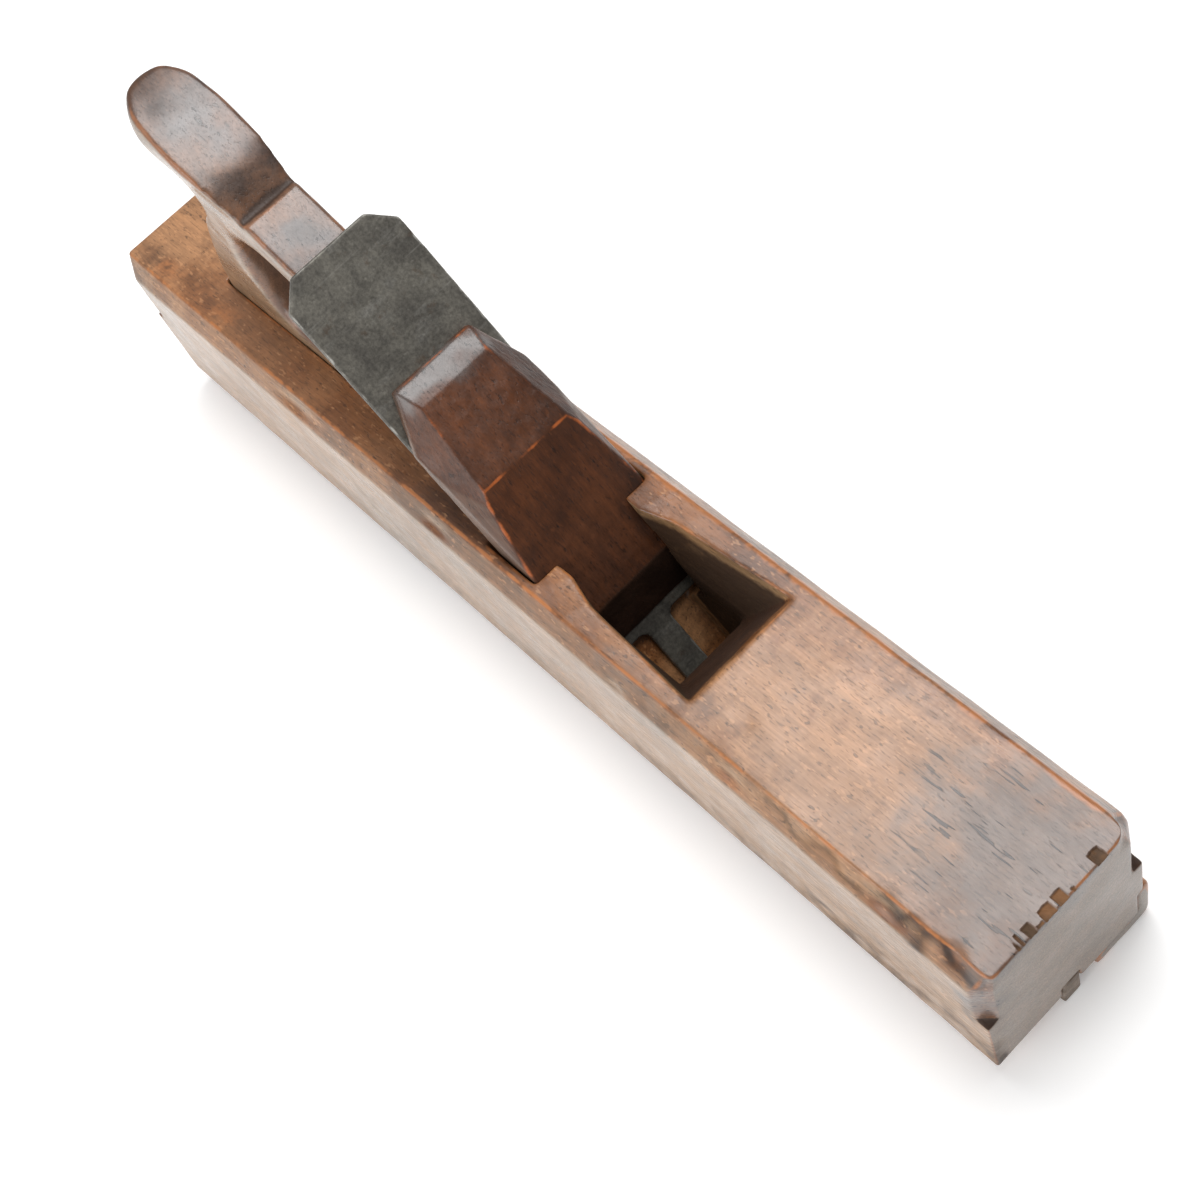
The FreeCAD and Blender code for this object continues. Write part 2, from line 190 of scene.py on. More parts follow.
def wear_down(mesh, rounds, least, patch_mm, seed, extra=None, rubbed=None, keep=None):
    """Rounds the outer arrises by uneven amounts, and stores how worn and how hollow each spot is.

    More rounds wear wider. The least share of the wear is everywhere, and patches have more. Extra
    adds to that share, rubbed marks bare spots beside the crests, and keep holds crests back.
    """
    mean = neighbour_mean(mesh)
    start = smoothed(positions(mesh), mean, settling_rounds)
    soft = smoothed(start, mean, rounds)
    stands_out = ((start - soft) * normals(mesh)).sum(1) / MM
    share = least + (1 - least) * smoothstep(waves(start, patch_mm * MM, seed), -0.9, 0.9)
    if extra is not None:
        share = np.clip(share + extra(start), 0, 1)
    share = np.where(stands_out > 0, share, hollow_wear * share)
    worn = start + (soft - start) * share[:, None]
    set_positions(mesh, worn)
    lively = smoothstep(waves(start, 0.6 * patch_mm * MM, seed + 50), -0.8, 0.8)
    store(mesh, "wear", rubbed_crests(mesh, worn, mean, lively, rubbed, keep))
    store(mesh, "hollow", np.clip(-stands_out / full_hollow_mm, 0, 1))


def undulate(mesh, wavelength_mm, height_mm, seed):
    """Presses long, low undulations into the faces."""
    points = positions(mesh)
    lift = waves(points, wavelength_mm * MM, seed) * height_mm * MM
    set_positions(mesh, points - normals(mesh) * (np.abs(lift))[:, None])


def dent(mesh, dents):
    """Presses soft dents into a surface: each is a centre, its radii and a depth in millimetres."""
    points = positions(mesh)
    outward = normals(mesh)
    for centre_mm, radii_mm, depth_mm in dents:
        pressed = blob(points, at(*centre_mm), radii_mm) * depth_mm * MM
        points = points - outward * pressed[:, None]
    set_positions(mesh, points)


def stain(mesh, name, marks, also=0.0):
    """Stores how strongly a surface is marked: each mark is a centre, its radii and a strength."""
    points = positions(mesh)
    drift = np.stack([waves(points, 14 * MM, 90 + axis) for axis in range(3)], axis=1)
    ragged = points + 3.0 * MM * drift
    total = np.zeros(len(points)) + also
    for centre_mm, radii_mm, strength in marks:
        total += strength * blob(ragged, at(*centre_mm), radii_mm)
    store(mesh, name, np.clip(total, -1, 1))


def refine(mesh, low, high):
    """Divides the faces inside a box, for detail that is finer than the voxels."""
    shape = bmesh.new()
    shape.from_mesh(mesh)
    edges = []
    for edge in shape.edges:
        spots = [corner.co for corner in edge.verts]
        if all(low[axis] < spot[axis] < high[axis] for spot in spots for axis in range(3)):
            edges.append(edge)
    bmesh.ops.subdivide_edges(shape, edges=edges, cuts=2, use_grid_fill=True)
    shape.to_mesh(mesh)
    shape.free()
    mesh.shade_smooth()


# ---- shader tools ----
# A ring texture's rings lie this far apart at a scale of one.
ring_gap_at_scale_one = 0.314
# A colour Mix node's sockets are told apart by their places, because several share a name.
mix_share, mix_first, mix_second, mix_result = 0, 6, 7, 2


class Shader:
    """A material under construction, with short calls for the nodes that it uses."""

    def __init__(self, name, **constants):
        self.material = bpy.data.materials.new(name)
        self.material.use_nodes = True
        self.tree = self.material.node_tree
        self.surface = self.tree.nodes["Principled BSDF"]
        for socket, value in constants.items():
            self.surface.inputs[socket.replace("_", " ")].default_value = value
        self.object_space = self.node("ShaderNodeTexCoord").outputs["Object"]

    def node(self, kind, **settings):
        made = self.tree.nodes.new(kind)
        for name, value in settings.items():
            setattr(made, name, value)
        return made

    def feed(self, socket, value):
        if isinstance(value, bpy.types.NodeSocket):
            self.tree.links.new(value, socket)
        elif isinstance(value, tuple) and len(value) == 3 and socket.type == "RGBA":
            socket.default_value = (*value, 1.0)
        else:
            socket.default_value = value

    def mapped(self, scale=(1, 1, 1), turn=(0, 0, 0), shift=(0, 0, 0), source=None):
        mapping = self.node("ShaderNodeMapping")
        self.feed(mapping.inputs["Vector"], source or self.object_space)
        mapping.inputs["Scale"].default_value = scale
        mapping.inputs["Rotation"].default_value = turn
        mapping.inputs["Location"].default_value = shift
        return mapping.outputs["Vector"]

    def noise(self, where, scale, detail=2.0, rough=0.5, distort=0.0):
        texture = self.node("ShaderNodeTexNoise")
        self.feed(texture.inputs["Vector"], where)
        texture.inputs["Scale"].default_value = scale
        texture.inputs["Detail"].default_value = detail
        texture.inputs["Roughness"].default_value = rough
        texture.inputs["Distortion"].default_value = distort
        return texture.outputs["Fac"]

    def cells(self, where, scale, smooth=0.4):
        texture = self.node("ShaderNodeTexVoronoi", feature="SMOOTH_F1")
        self.feed(texture.inputs["Vector"], where)
        texture.inputs["Scale"].default_value = scale
        texture.inputs["Smoothness"].default_value = smooth
        return texture.outputs["Distance"]

    def rings(self, where, spacing, distort, detail_scale):
        texture = self.node("ShaderNodeTexWave", wave_type="RINGS", rings_direction="X")
        self.feed(texture.inputs["Vector"], where)
        texture.inputs["Scale"].default_value = ring_gap_at_scale_one / spacing
        texture.inputs["Distortion"].default_value = distort
        texture.inputs["Detail"].default_value = 2.0
        texture.inputs["Detail Scale"].default_value = detail_scale
        return texture.outputs["Fac"]

    def steps(self, value, low, high, start=0.0, end=1.0):
        """A smooth step from start to end as a value goes from low to high."""
        ranged = self.node("ShaderNodeMapRange", interpolation_type="SMOOTHSTEP")
        self.feed(ranged.inputs["Value"], value)
        ranged.inputs["From Min"].default_value = low
        ranged.inputs["From Max"].default_value = high
        ranged.inputs["To Min"].default_value = start
        ranged.inputs["To Max"].default_value = end
        return ranged.outputs["Result"]

    def spread(self, texture, start, end):
        """A noise's usual range of values, spread from start to end."""
        return self.steps(texture, 0.3, 0.7, start, end)

    def maths(self, operation, first, second=0.0):
        made = self.node("ShaderNodeMath", operation=operation)
        self.feed(made.inputs[0], first)
        self.feed(made.inputs[1], second)
        return made.outputs[0]

    def added(self, first, second):
        return self.maths("ADD", first, second)

    def scaled(self, value, factor):
        return self.maths("MULTIPLY", value, factor)

    def mixed(self, share, first, second):
        mix = self.node("ShaderNodeMix", data_type="RGBA")
        self.feed(mix.inputs[mix_share], share)
        self.feed(mix.inputs[mix_first], first)
        self.feed(mix.inputs[mix_second], second)
        return mix.outputs[mix_result]

    def shade(self, colour, value):
        """A colour made darker or lighter by a value."""
        vector = self.node("ShaderNodeVectorMath", operation="SCALE")
        self.feed(vector.inputs[0], colour)
        self.feed(vector.inputs["Scale"], value)
        return vector.outputs[0]

    def stored(self, name):
        return self.node("ShaderNodeAttribute", attribute_name=name).outputs["Fac"]

    def facing(self, axis):
        """How squarely the surface faces along an axis of the piece, either way, from 0 to 1."""
        geometry = self.node("ShaderNodeNewGeometry")
        local = self.node("ShaderNodeVectorTransform", vector_type="NORMAL",
                          convert_from="WORLD", convert_to="OBJECT")
        self.feed(local.inputs[0], geometry.outputs["Normal"])
        parts = self.node("ShaderNodeSeparateXYZ")
        self.feed(parts.inputs[0], local.outputs[0])
        return self.maths("ABSOLUTE", parts.outputs[axis])

    def bump(self, height, depth, below=None):
        made = self.node("ShaderNodeBump")
        made.inputs["Distance"].default_value = depth
        self.feed(made.inputs["Height"], height)
        if below is not None:
            self.feed(made.inputs["Normal"], below)
        return made.outputs["Normal"]

    def finish(self, colour, roughness, normal):
        self.feed(self.surface.inputs["Base Color"], colour)
        self.feed(self.surface.inputs["Roughness"], roughness)
        self.feed(self.surface.inputs["Normal"], normal)
        return self.material


# ---- beech ----
# Colours are linear. Each piece brings its own light, middle and dark tones, and these are the
# rest of its look, unless the piece says otherwise.
usual_look = {
    "waxed": (0.36, 0.255, 0.145),  # the upright sides, painted lighter and creamier as if lit from the side
    "rubbed": (0.42, 0.15, 0.042),  # crests that hands have rubbed
    "haze": (0.088, 0.076, 0.072),  # grey marks: painted sheen, and greyed wood
    "end_grey": 0.7,  # how far the end grain has greyed
    "specks": 0.38,  # how strong the pale specks are
    "grain_turn": (0, 0, 0),  # turns the grain away from the X axis
    "pith": (0, 0.02, -0.16),  # moves the growth rings' centre
    "gloss": 0.36,  # the roughness of the polish
    "coat": 0.62,  # wax over clean wood
    "hazed_coat": 0.65,  # wax over the grey marks of painted sheen and greyed wood
    "specular": 0.32,
    "lumpy": 0.00022,  # how deep the soft lumps are
}
growth_ring_gap = 0.0034
weathered_end_tone = (0.195, 0.172, 0.138)
# The tone of the dark marks: dirt, and painted shade.
grime_and_shade_tone = (0.026, 0.011, 0.005)
crack_tone = (0.022, 0.016, 0.014)
bare_dark_tone = (0.085, 0.048, 0.026)
bare_light_tone = (0.19, 0.088, 0.034)


def beech_textures(make, look):
    """What varies over the wood, most of it stretched along the grain."""
    turned = make.mapped(turn=look.grain_turn)
    about_pith = make.mapped(shift=look.pith, source=turned, scale=(0.25, 1, 1))

    def along_grain(stretch):
        return make.mapped(scale=(stretch, 1, 1), source=turned)

    return SimpleNamespace(
        patches=make.noise(make.object_space, 16, detail=4, rough=0.62, distort=0.6),
        rings=make.rings(about_pith, growth_ring_gap, distort=2.2, detail_scale=14),
        streaks=make.noise(along_grain(0.06), 120, detail=3, rough=0.6),
        fibres=make.noise(along_grain(0.06), 1100, detail=2, rough=0.6),
        flecks=make.noise(along_grain(0.2), 1500, detail=1, rough=0.4),
        dark_specks=make.noise(along_grain(0.5), 520, detail=1),
        pale_specks=make.noise(along_grain(0.45), 640, detail=1),
        lumps=make.noise(along_grain(0.5), 560, detail=2),
        cracks=make.noise(along_grain(0.13), 640, detail=1),
        mottle=make.noise(make.object_space, 90, detail=3, rough=0.7),
        pores=make.noise(make.object_space, 2600, detail=1),
        polish=make.noise(make.object_space, 40, detail=5, rough=0.65),
        end_grain=make.steps(make.facing(0), 0.80, 0.97),
        # How squarely a face looks sideways: there the lit tone of the upright sides is painted.
        side_on=make.steps(make.facing(1), 0.75, 0.97, 0.0, 0.5),
    )


def clean_tone(make, wood, look):
    """Patches of lighter and darker wood under wax, lighter marks that are partly painted light, and
    a painted lit tone on the upright sides, crossed by the rings and fibres.
    """
    tone = make.mixed(make.steps(wood.patches, 0.42, 0.66, 0.0, 0.45), look.middle, look.light)
    tone = make.mixed(make.steps(wood.patches, 0.52, 0.32), tone, look.dark)
    # The pale marks lighten the wood: some are paler wood, and some are painted light.
    pale = make.added(make.stored("pale"), make.spread(wood.mottle, -0.15, 0.15))
    tone = make.mixed(make.steps(pale, 0.1, 0.9, 0.0, 0.9), tone, look.light)
    # The upright sides are painted in a lighter, creamier tone, as if lit from the side.
    tone = make.mixed(wood.side_on, tone, look.waxed)
    tone = make.shade(tone, make.steps(wood.rings, 0.1, 0.9, 1.06, 0.90))
    tone = make.shade(tone, make.spread(wood.streaks, 0.88, 1.10))
    tone = make.shade(tone, make.spread(wood.fibres, 0.86, 1.10))
    return make.shade(tone, make.spread(wood.mottle, 0.85, 1.13))


def dark_flecks(make, wood):
    """Where the short dark flecks of the rays and pores are, which end grain doesn't show."""
    share = make.added(make.steps(wood.flecks, 0.61, 0.69, 0.0, 0.5),
                       make.steps(wood.dark_specks, 0.70, 0.76, 0.0, 0.7))
    return make.scaled(share, make.maths("SUBTRACT", 1.0, wood.end_grain))


def with_flecks(make, wood, look, tone, flecks):
    """A tone with its pale specks, dark flecks and greyed end grain."""
    pale_specks = make.steps(wood.pale_specks, 0.62, 0.74, 0.0, look.specks)
    tone = make.mixed(pale_specks, tone, make.shade(look.light, 1.45))
    tone = make.mixed(flecks, tone, make.shade(tone, 0.34))
    grey_end = make.mixed(look.end_grey, tone, weathered_end_tone)
    grey_end = make.shade(grey_end, make.steps(wood.pores, 0.35, 0.65, 0.78, 1.12))
    return make.mixed(wood.end_grain, tone, grey_end)


def with_dirt_shade_and_sheen(make, wood, look, tone):
    """A tone under its dark marks, dirt and painted shade alike, its grey marks of painted sheen and
    greyed wood, and where the grey wood has cracked.
    """
    grime_and_shade = make.added(make.stored("dark"), make.scaled(make.stored("hollow"), 0.8))
    grime_and_shade = make.added(grime_and_shade, make.steps(wood.mottle, 0.25, 0.75, -0.28, 0.28))
    tone = make.mixed(make.steps(grime_and_shade, 0.15, 0.95, 0.0, 0.92), tone, grime_and_shade_tone)
    # Grey marks: painted sheen, and greyed wood, which cracks.
    greyed = make.added(make.stored("grey"), make.steps(wood.mottle, 0.25, 0.75, -0.22, 0.22))
    tone = make.mixed(make.steps(greyed, 0.1, 0.95, 0.0, 0.78), tone, look.haze)
    cracked = make.scaled(make.steps(wood.cracks, 0.655, 0.69), make.steps(greyed, 0.25, 0.7))
    return make.mixed(make.scaled(cracked, 0.85), tone, crack_tone), cracked


def with_wear(make, wood, look, tone):
    """A tone with its rubbed crests, and the bare wood of its chips."""
    rub = make.scaled(make.stored("wear"), make.steps(wood.mottle, 0.35, 0.6, 0.25, 1.0))
    tone = make.mixed(make.steps(rub, 0.15, 0.8, 0.0, 0.85), tone, look.rubbed)
    bare = make.mixed(make.steps(wood.mottle, 0.4, 0.62), bare_dark_tone, bare_light_tone)
    return make.mixed(make.stored("raw"), tone, bare)


def add_wax(make, wood, look):
    """Gives the wood its coat of wax, which the dark marks of dirt and painted shade and the chips
    lack, and returns its roughness.
    """
    rough = make.spread(wood.polish, look.gloss - 0.10, look.gloss + 0.13)
    rough = make.added(rough, make.scaled(wood.end_grain, 0.18))
    rough = make.added(rough, make.spread(wood.fibres, 0.05, -0.03))
    unpolished = make.maths("MAXIMUM", make.stored("raw"), make.scaled(make.stored("dark"), 0.9))
    glaze = make.steps(make.stored("grey"), 0.1, 0.9, look.coat, look.hazed_coat)
    glaze = make.scaled(glaze, make.steps(unpolished, 0.0, 0.8, 1.0, 0.0))
    make.feed(make.surface.inputs["Coat Weight"], glaze)
    return make.added(rough, make.scaled(unpolished, 0.35))


def beech(name, light, middle, dark, **changes):
    """Old beech under wax: growth rings, fibres, short flecks, patches, dirt and painted shade,
    painted sheen, a painted lit tone on the upright sides, and worn arrises.
    """
    look = SimpleNamespace(light=light, middle=middle, dark=dark, **{**usual_look, **changes})
    make = Shader(name, Specular_IOR_Level=look.specular, Coat_Roughness=0.24)
    wood = beech_textures(make, look)
    flecks = dark_flecks(make, wood)
    tone = with_flecks(make, wood, look, clean_tone(make, wood, look), flecks)
    tone, cracked = with_dirt_shade_and_sheen(make, wood, look, tone)
    tone = with_wear(make, wood, look, tone)
    relief = make.added(make.scaled(wood.fibres, 0.5), make.scaled(flecks, -0.9))
    relief = make.added(relief, make.scaled(cracked, -1.6))
    normal = make.bump(relief, 0.00010, make.bump(wood.lumps, look.lumpy))
    return make.finish(tone, add_wax(make, wood, look), normal)


body_wood = beech(
    "old_beech_body", (0.41, 0.205, 0.093), (0.225, 0.082, 0.024), (0.105, 0.038, 0.013),
    waxed=(0.35, 0.245, 0.135))
tote_wood = beech(
    "old_beech_tote", (0.23, 0.108, 0.050), (0.125, 0.052, 0.024), (0.056, 0.025, 0.015),
    waxed=(0.33, 0.25, 0.16), rubbed=(0.27, 0.105, 0.04), haze=(0.080, 0.074, 0.074),
    end_grey=0.15, specks=0.14, pith=(0, -0.11, -0.05), gloss=0.30, coat=0.75, hazed_coat=0.85,
    specular=0.45, lumpy=0.00012)
wedge_wood = beech(
    "old_beech_wedge", (0.125, 0.040, 0.013), (0.072, 0.022, 0.007), (0.032, 0.012, 0.006),
    waxed=(0.18, 0.125, 0.09), rubbed=(0.40, 0.10, 0.022), haze=(0.085, 0.075, 0.070),
    end_grey=0.1, specks=0.2, grain_turn=(0, -bed_angle, 0), pith=(0, 0.10, 0.05), gloss=0.38,
    coat=0.15, hazed_coat=0.75, specular=0.3)
fence_wood = beech(
    "old_beech_fence", (0.30, 0.17, 0.095), (0.20, 0.105, 0.058), (0.09, 0.048, 0.028),
    pith=(0, -0.06, 0.12), gloss=0.5, specular=0.4)


# ---- iron and steel ----
rust_tone = (0.075, 0.045, 0.026)
iron_gloss = 0.46


def old_iron(name, deep, middle, pale):
    """Iron under a dark patina: fine pitting, rusty bloom, smears, scratches and rubbed edges."""
    make = Shader(name, Metallic=0.35, Specular_IOR_Level=0.4)
    turned = make.mapped(turn=(0, -bed_angle, 0))
    cloud = make.noise(make.object_space, 55, detail=6, rough=0.68, distort=0.5)
    speck = make.noise(make.object_space, 900, detail=2, rough=0.6)
    bloom = make.noise(make.object_space, 150, detail=5, rough=0.7)
    pits = make.cells(make.object_space, 420)
    brushed = make.noise(make.mapped(scale=(0.05, 1, 1), source=turned), 700, detail=2)
    scratches = make.noise(make.mapped(scale=(1, 0.04, 1), source=turned), 480, detail=1)
    smears = make.noise(make.mapped(scale=(1, 0.35, 1), source=turned), 210, detail=4, rough=0.65)

    tone = make.mixed(make.steps(cloud, 0.36, 0.64), deep, middle)
    tone = make.mixed(make.steps(smears, 0.52, 0.74, 0.0, 0.42), tone, make.shade(pale, 0.62))
    tone = make.shade(tone, make.spread(speck, 0.80, 1.18))
    tone = make.shade(tone, make.spread(brushed, 0.93, 1.06))
    tone = make.mixed(make.steps(bloom, 0.58, 0.72, 0.0, 0.5), tone, rust_tone)
    tone = make.mixed(make.steps(scratches, 0.70, 0.76, 0.0, 0.16), tone, pale)
    rub = make.scaled(make.stored("wear"), make.steps(bloom, 0.3, 0.6, 0.3, 1.0))
    tone = make.mixed(make.steps(rub, 0.25, 0.9, 0.0, 0.8), tone, pale)

    rough = make.spread(cloud, iron_gloss + 0.12, iron_gloss - 0.06)
    relief = make.added(make.scaled(speck, 0.4), make.scaled(make.steps(pits, 0.0, 0.35), 0.6))
    normal = make.bump(relief, 0.00012, make.bump(bloom, 0.0003))
    return make.finish(tone, rough, normal)


def screw_steel(name, bright, rusty):
    """Turned steel with clouds of rust."""
    make = Shader(name, Metallic=0.8)
    cloud = make.noise(make.object_space, 400, detail=4, rough=0.7)
    turned = make.noise(make.object_space, 2500, detail=1)
    tone = make.mixed(make.steps(cloud, 0.4, 0.62), bright, rusty)
    tone = make.shade(tone, make.spread(turned, 0.85, 1.1))
    return make.finish(tone, make.spread(cloud, 0.35, 0.6), make.bump(turned, 0.00005))


iron_metal = old_iron(
    "patinated_iron", (0.076, 0.070, 0.060), (0.152, 0.142, 0.120), (0.36, 0.35, 0.32))
tongue_metal = old_iron(
    "brown_iron", (0.100, 0.070, 0.048), (0.200, 0.142, 0.098), (0.30, 0.24, 0.19))
screw_metal = screw_steel("old_screw_steel", (0.20, 0.18, 0.16), (0.075, 0.045, 0.03))


# ---- the stock ----
# Each chip has its rear end, its two sides and its depth, in millimetres on the plane.
toe_chips = [
    (449.9, -17.5, -16.9, 0.7), (449.9, -15.7, -15.1, 0.7), (450.2, -12.9, -10.0, 0.8),
    (450.3, -6.1, -1.6, 0.9), (450.1, -0.2, 3.6, 0.8), (452.9, 5.6, 6.6, 0.6),
    (449.8, 15.8, 20.0, 1.1), (452.8, -9.4, -7.0, 0.5),
]
chip_edge_mm = 0.12
chip_ragged_mm = 0.16
chip_floor_mm = 0.12
least_chip_mm = 0.1
stock_dents = [
    ((120, -33, 70), (9, 2.5, 3), 0.9), ((205, -33, 69), (6, 2, 2.5), 0.8),
    ((300, -34, 66), (4, 2, 2), 0.7), ((352, -33, 70), (5, 2, 3), 0.7),
    ((418, -33, 70), (7, 2.5, 3), 1.1), ((441, -30, 73), (4, 3, 3), 0.9),
    ((452, 2, 30), (2, 5, 4), 0.5), ((260, -35, 30), (10, 2, 8), 0.4),
    ((60, -35, 20), (8, 2, 6), 0.5), ((160, -35, 52), (6, 2, 4), 0.4),
    ((380, 12, 74), (9, 6, 2), 0.25), ((420, -8, 74), (6, 5, 2), 0.3),
    ((345, -18, 74), (5, 4, 2), 0.3), ((30, -20, 74), (6, 4, 2), 0.4),
]
# Dark marks on the stock: painted shade on the deck beside the tote's foot and beside the iron, and a
# painted shadow of the iron's shoulder on the bed in the throat. The rest darken the long chamfer
# towards the toe, the toe, the heel and the side towards the bottom.
stock_grime_and_shade = [
    ((165, -15, 74), (40, 14, 6), 0.35), ((215, -25, 74), (18, 8, 5), 0.45),
    ((350, -27, 73), (30, 6, 5), 0.3), ((448, 0, 40), (3, 40, 6), 0.2),
    ((437, -32, 71), (16, 3, 5), 0.75), ((405, -32, 70), (40, 3, 5), 0.5),
    ((340, -32, 70), (60, 3, 4), 0.2), ((5, 0, 30), (12, 40, 40), 0.2),
    ((430, -36, 20), (110, 4, 34), 0.42), ((250, -36, 4), (260, 4, 12), 0.35),
    ((278, 13, 25), (2, 2, 2), 1.3),
]
# Grey marks on the stock: painted sheen on the deck towards the toe, and grey at the toe's corners
# and along the long chamfer.
stock_grey_and_sheen = [
    ((440, 4, 74), (27, 34, 6), 1.25), ((395, -22, 74), (30, 12, 6), 0.2),
    ((402, 4, 74), (22, 22, 6), 0.4), ((345, 4, 74), (26, 18, 6), 0.3),
    ((452, -33, 55), (8, 6, 20), 0.9), ((452, 33, 55), (8, 6, 20), 0.9),
    ((300, -29, 72), (80, 5, 6), 0.4),
]
# Lighter marks on the stock: painted light on the deck towards the toe, pools of painted light on the
# bed beside the iron's stem in the throat, and a lighter heel.
stock_pale_and_lit = [
    ((350, -8, 74), (60, 36, 8), 0.68), ((400, -8, 74), (50, 40, 8), 0.7),
    ((275, 9, 26), (12, 12, 14), 1.0), ((288, -9, 14), (14, 12, 12), 1.0),
    ((14, 0, 74), (30, 40, 8), 1.0),
]


def round_toe_corner(mesh, side, radius_mm):
    """Rounds one of the deck's corners at the toe, seen from above, and less below the deck."""
    points = positions(mesh)
    radius = radius_mm * MM
    centre = at(body_length_mm - radius_mm, side * (deck_half_mm - radius_mm), 0)
    out_x = points[:, 0] - centre[0]
    out_y = points[:, 1] - centre[1]
    away = np.maximum(np.hypot(out_x, out_y), 0.1 * MM)
    outside = (out_x > 0) & (out_y * side > 0) & (away > radius)
    high = smoothstep(points[:, 2], at(0, 0, body_height_mm - 11)[2], at(0, 0, body_height_mm - 1)[2])
    pull = np.where(outside, 1 - high * (1 - radius / away), 1)
    points[:, 0] = centre[0] + out_x * pull
    points[:, 1] = centre[1] + out_y * pull
    set_positions(mesh, points)


def chip(mesh, chips):
    """Flakes off shallow, square-edged chips from the top of the toe, and stores where they are."""
    points = positions(mesh)
    raw = np.zeros(len(points))
    edge = chip_edge_mm * MM
    for rear_mm, near_mm, far_mm, depth_mm in chips:
        low = at(rear_mm, near_mm, 0)
        high = at(body_length_mm, far_mm, body_height_mm - depth_mm)
        ragged = chip_ragged_mm * MM * waves(points, 3 * MM, 77)
        inside = (smoothstep(points[:, 0] + ragged, low[0] - edge, low[0] + edge)
                  * smoothstep(points[:, 1] + ragged, low[1] - edge, low[1] + edge)
                  * smoothstep(-points[:, 1] + ragged, -high[1] - edge, -high[1] + edge))
        floor = high[2] + chip_floor_mm * MM * waves(points, 2 * MM, 78)
        drop = np.clip(points[:, 2] - floor, 0, None) * inside
        points[:, 2] -= drop
        raw = np.maximum(raw, inside * (drop > least_chip_mm * MM))
    set_positions(mesh, points)
    store(mesh, "raw", raw)


def rubbed_stock(points):
    """The long arrises of the deck, and its edge at the heel."""
    left = 1.5 * along_arris(points, deck_half_mm, body_height_mm, 2.0)
    right = 1.4 * along_arris(points, -deck_half_mm, body_height_mm, 0.8)
    heel = 0.7 * blob(points, at(45, -24, body_height_mm), (60, 6, 4))
    return np.maximum(np.maximum(left, right), heel)


def handled_height(points):
    """Hands rub the upper part of the stock more than the lower part."""
    return 0.3 + 0.7 * smoothstep(points[:, 2], at(0, 0, 42)[2], at(0, 0, 66)[2])


def beside_tote(points):
    """The rim of the tote's mortise doesn't wear, because the tote fills it."""
    low, high = at(46, -16, 68), at(186, 16, 75)
    inner = np.all((points > np.array(low)) & (points < np.array(high)), axis=1)
    return -1.0 * inner


def inside_throat(points):
    """How far inside the throat each point is, from 0 at its rim to about 1; the throat is painted
    dark with it, as shade.
    """
    rear, front = at(253, 0, 0), at(327.4, 0, body_height_mm)
    along = (points[:, 0] > rear[0]) & (points[:, 0] < front[0])
    inner = np.abs(points[:, 1] - rear[1]) < 24.8 * MM
    deep = smoothstep(front[2] - points[:, 2], 0.6 * MM, 7 * MM)
    _, off_bed = place_on_bed(points)
    return 1.1 * along * inner * deep * smoothstep(off_bed, 1 * MM, 5 * MM)


def toe_shelves(mesh, points):
    """The small level shelves at the toe's corners, which are painted darker."""
    low = at(446, 0, 37.6)
    top = at(0, 0, 40.4)[2]
    level = (points[:, 2] > low[2]) & (points[:, 2] < top) & (normals(mesh)[:, 2] > 0.35)
    return level & (points[:, 0] > low[0])


def make_body():
    piece = remeshed_copy("body", voxel_mm=0.7)
    mesh = piece.data
    round_toe_corner(mesh, side=1, radius_mm=6.5)
    round_toe_corner(mesh, side=-1, radius_mm=2.5)
    wear_down(mesh, rounds=5, least=0.35, patch_mm=40, seed=3,
              extra=beside_tote, rubbed=rubbed_stock, keep=handled_height)
    refine(mesh, low=at(448.5, -23, 71), high=at(456, 23, 76))
    chip(mesh, toe_chips)
    dent(mesh, stock_dents)
    undulate(mesh, wavelength_mm=26, height_mm=0.12, seed=21)
    points = positions(mesh)
    # Painted shade inside the throat, and darker shelves at the toe's corners.
    throat_shade_and_dark_shelves = inside_throat(points) + 0.9 * toe_shelves(mesh, points)
    stain(mesh, "dark", stock_grime_and_shade, throat_shade_and_dark_shelves)
    stain(mesh, "grey", stock_grey_and_sheen)
    stain(mesh, "pale", stock_pale_and_lit)
    return piece


# ---- the tote ----
tip_round_mm = 12.5
tip_narrowing = 0.6
tip_droop_mm = 1.5
tip_bulge_mm = 1.6
# Dark marks on the tote: painted shade in the hollow on top of the horn, and darker at the middle of
# the grip, at the horn's tip and on the spur.
tote_grime_and_shade = [
    ((110, 3, 161), (8, 20, 9), 0.85), ((110, 0, 100), (25, 9, 25), 0.45),
    ((62, 0, 184), (13, 18, 10), 0.75), ((135, 0, 148), (9, 16, 7), 0.2),
]
# Grey marks on the tote are painted sheen, on the horn and on the flat of the spur.
tote_sheen = [((88, 0, 173), (14, 13, 10), 0.9), ((135, 0, 148), (9, 13, 7), 1.0)]
# Painted light on the tote's side that faces the side light.
tote_lit_side = [((80, -14, 120), (40, 5, 50), 1.0)]


def round_horn_tip(mesh):
    """Draws the end of the horn in to a round end, seen from above."""
    points = positions(mesh)
    centre = at(0, 0, 0)[1]
    high = smoothstep(points[:, 2], at(0, 0, 157)[2], at(0, 0, 168)[2])
    tip = points[high > 0.99, 0].min()
    shoulder = tip + tip_round_mm * MM
    back = np.clip((shoulder - points[:, 0]) / (shoulder - tip), 0, 1)
    aside = (points[:, 1] - centre) / (tip_round_mm * MM)
    width = 1 - tip_narrowing * (1 - np.sqrt(1 - 0.99 * back ** 2)) * high
    points[:, 0] -= tip_bulge_mm * MM * (1 - np.clip(aside ** 2, 0, 1)) * back * high
    points[:, 2] -= tip_droop_mm * MM * aside ** 2 * back * high
    points[:, 1] = centre + (points[:, 1] - centre) * width
    set_positions(mesh, points)


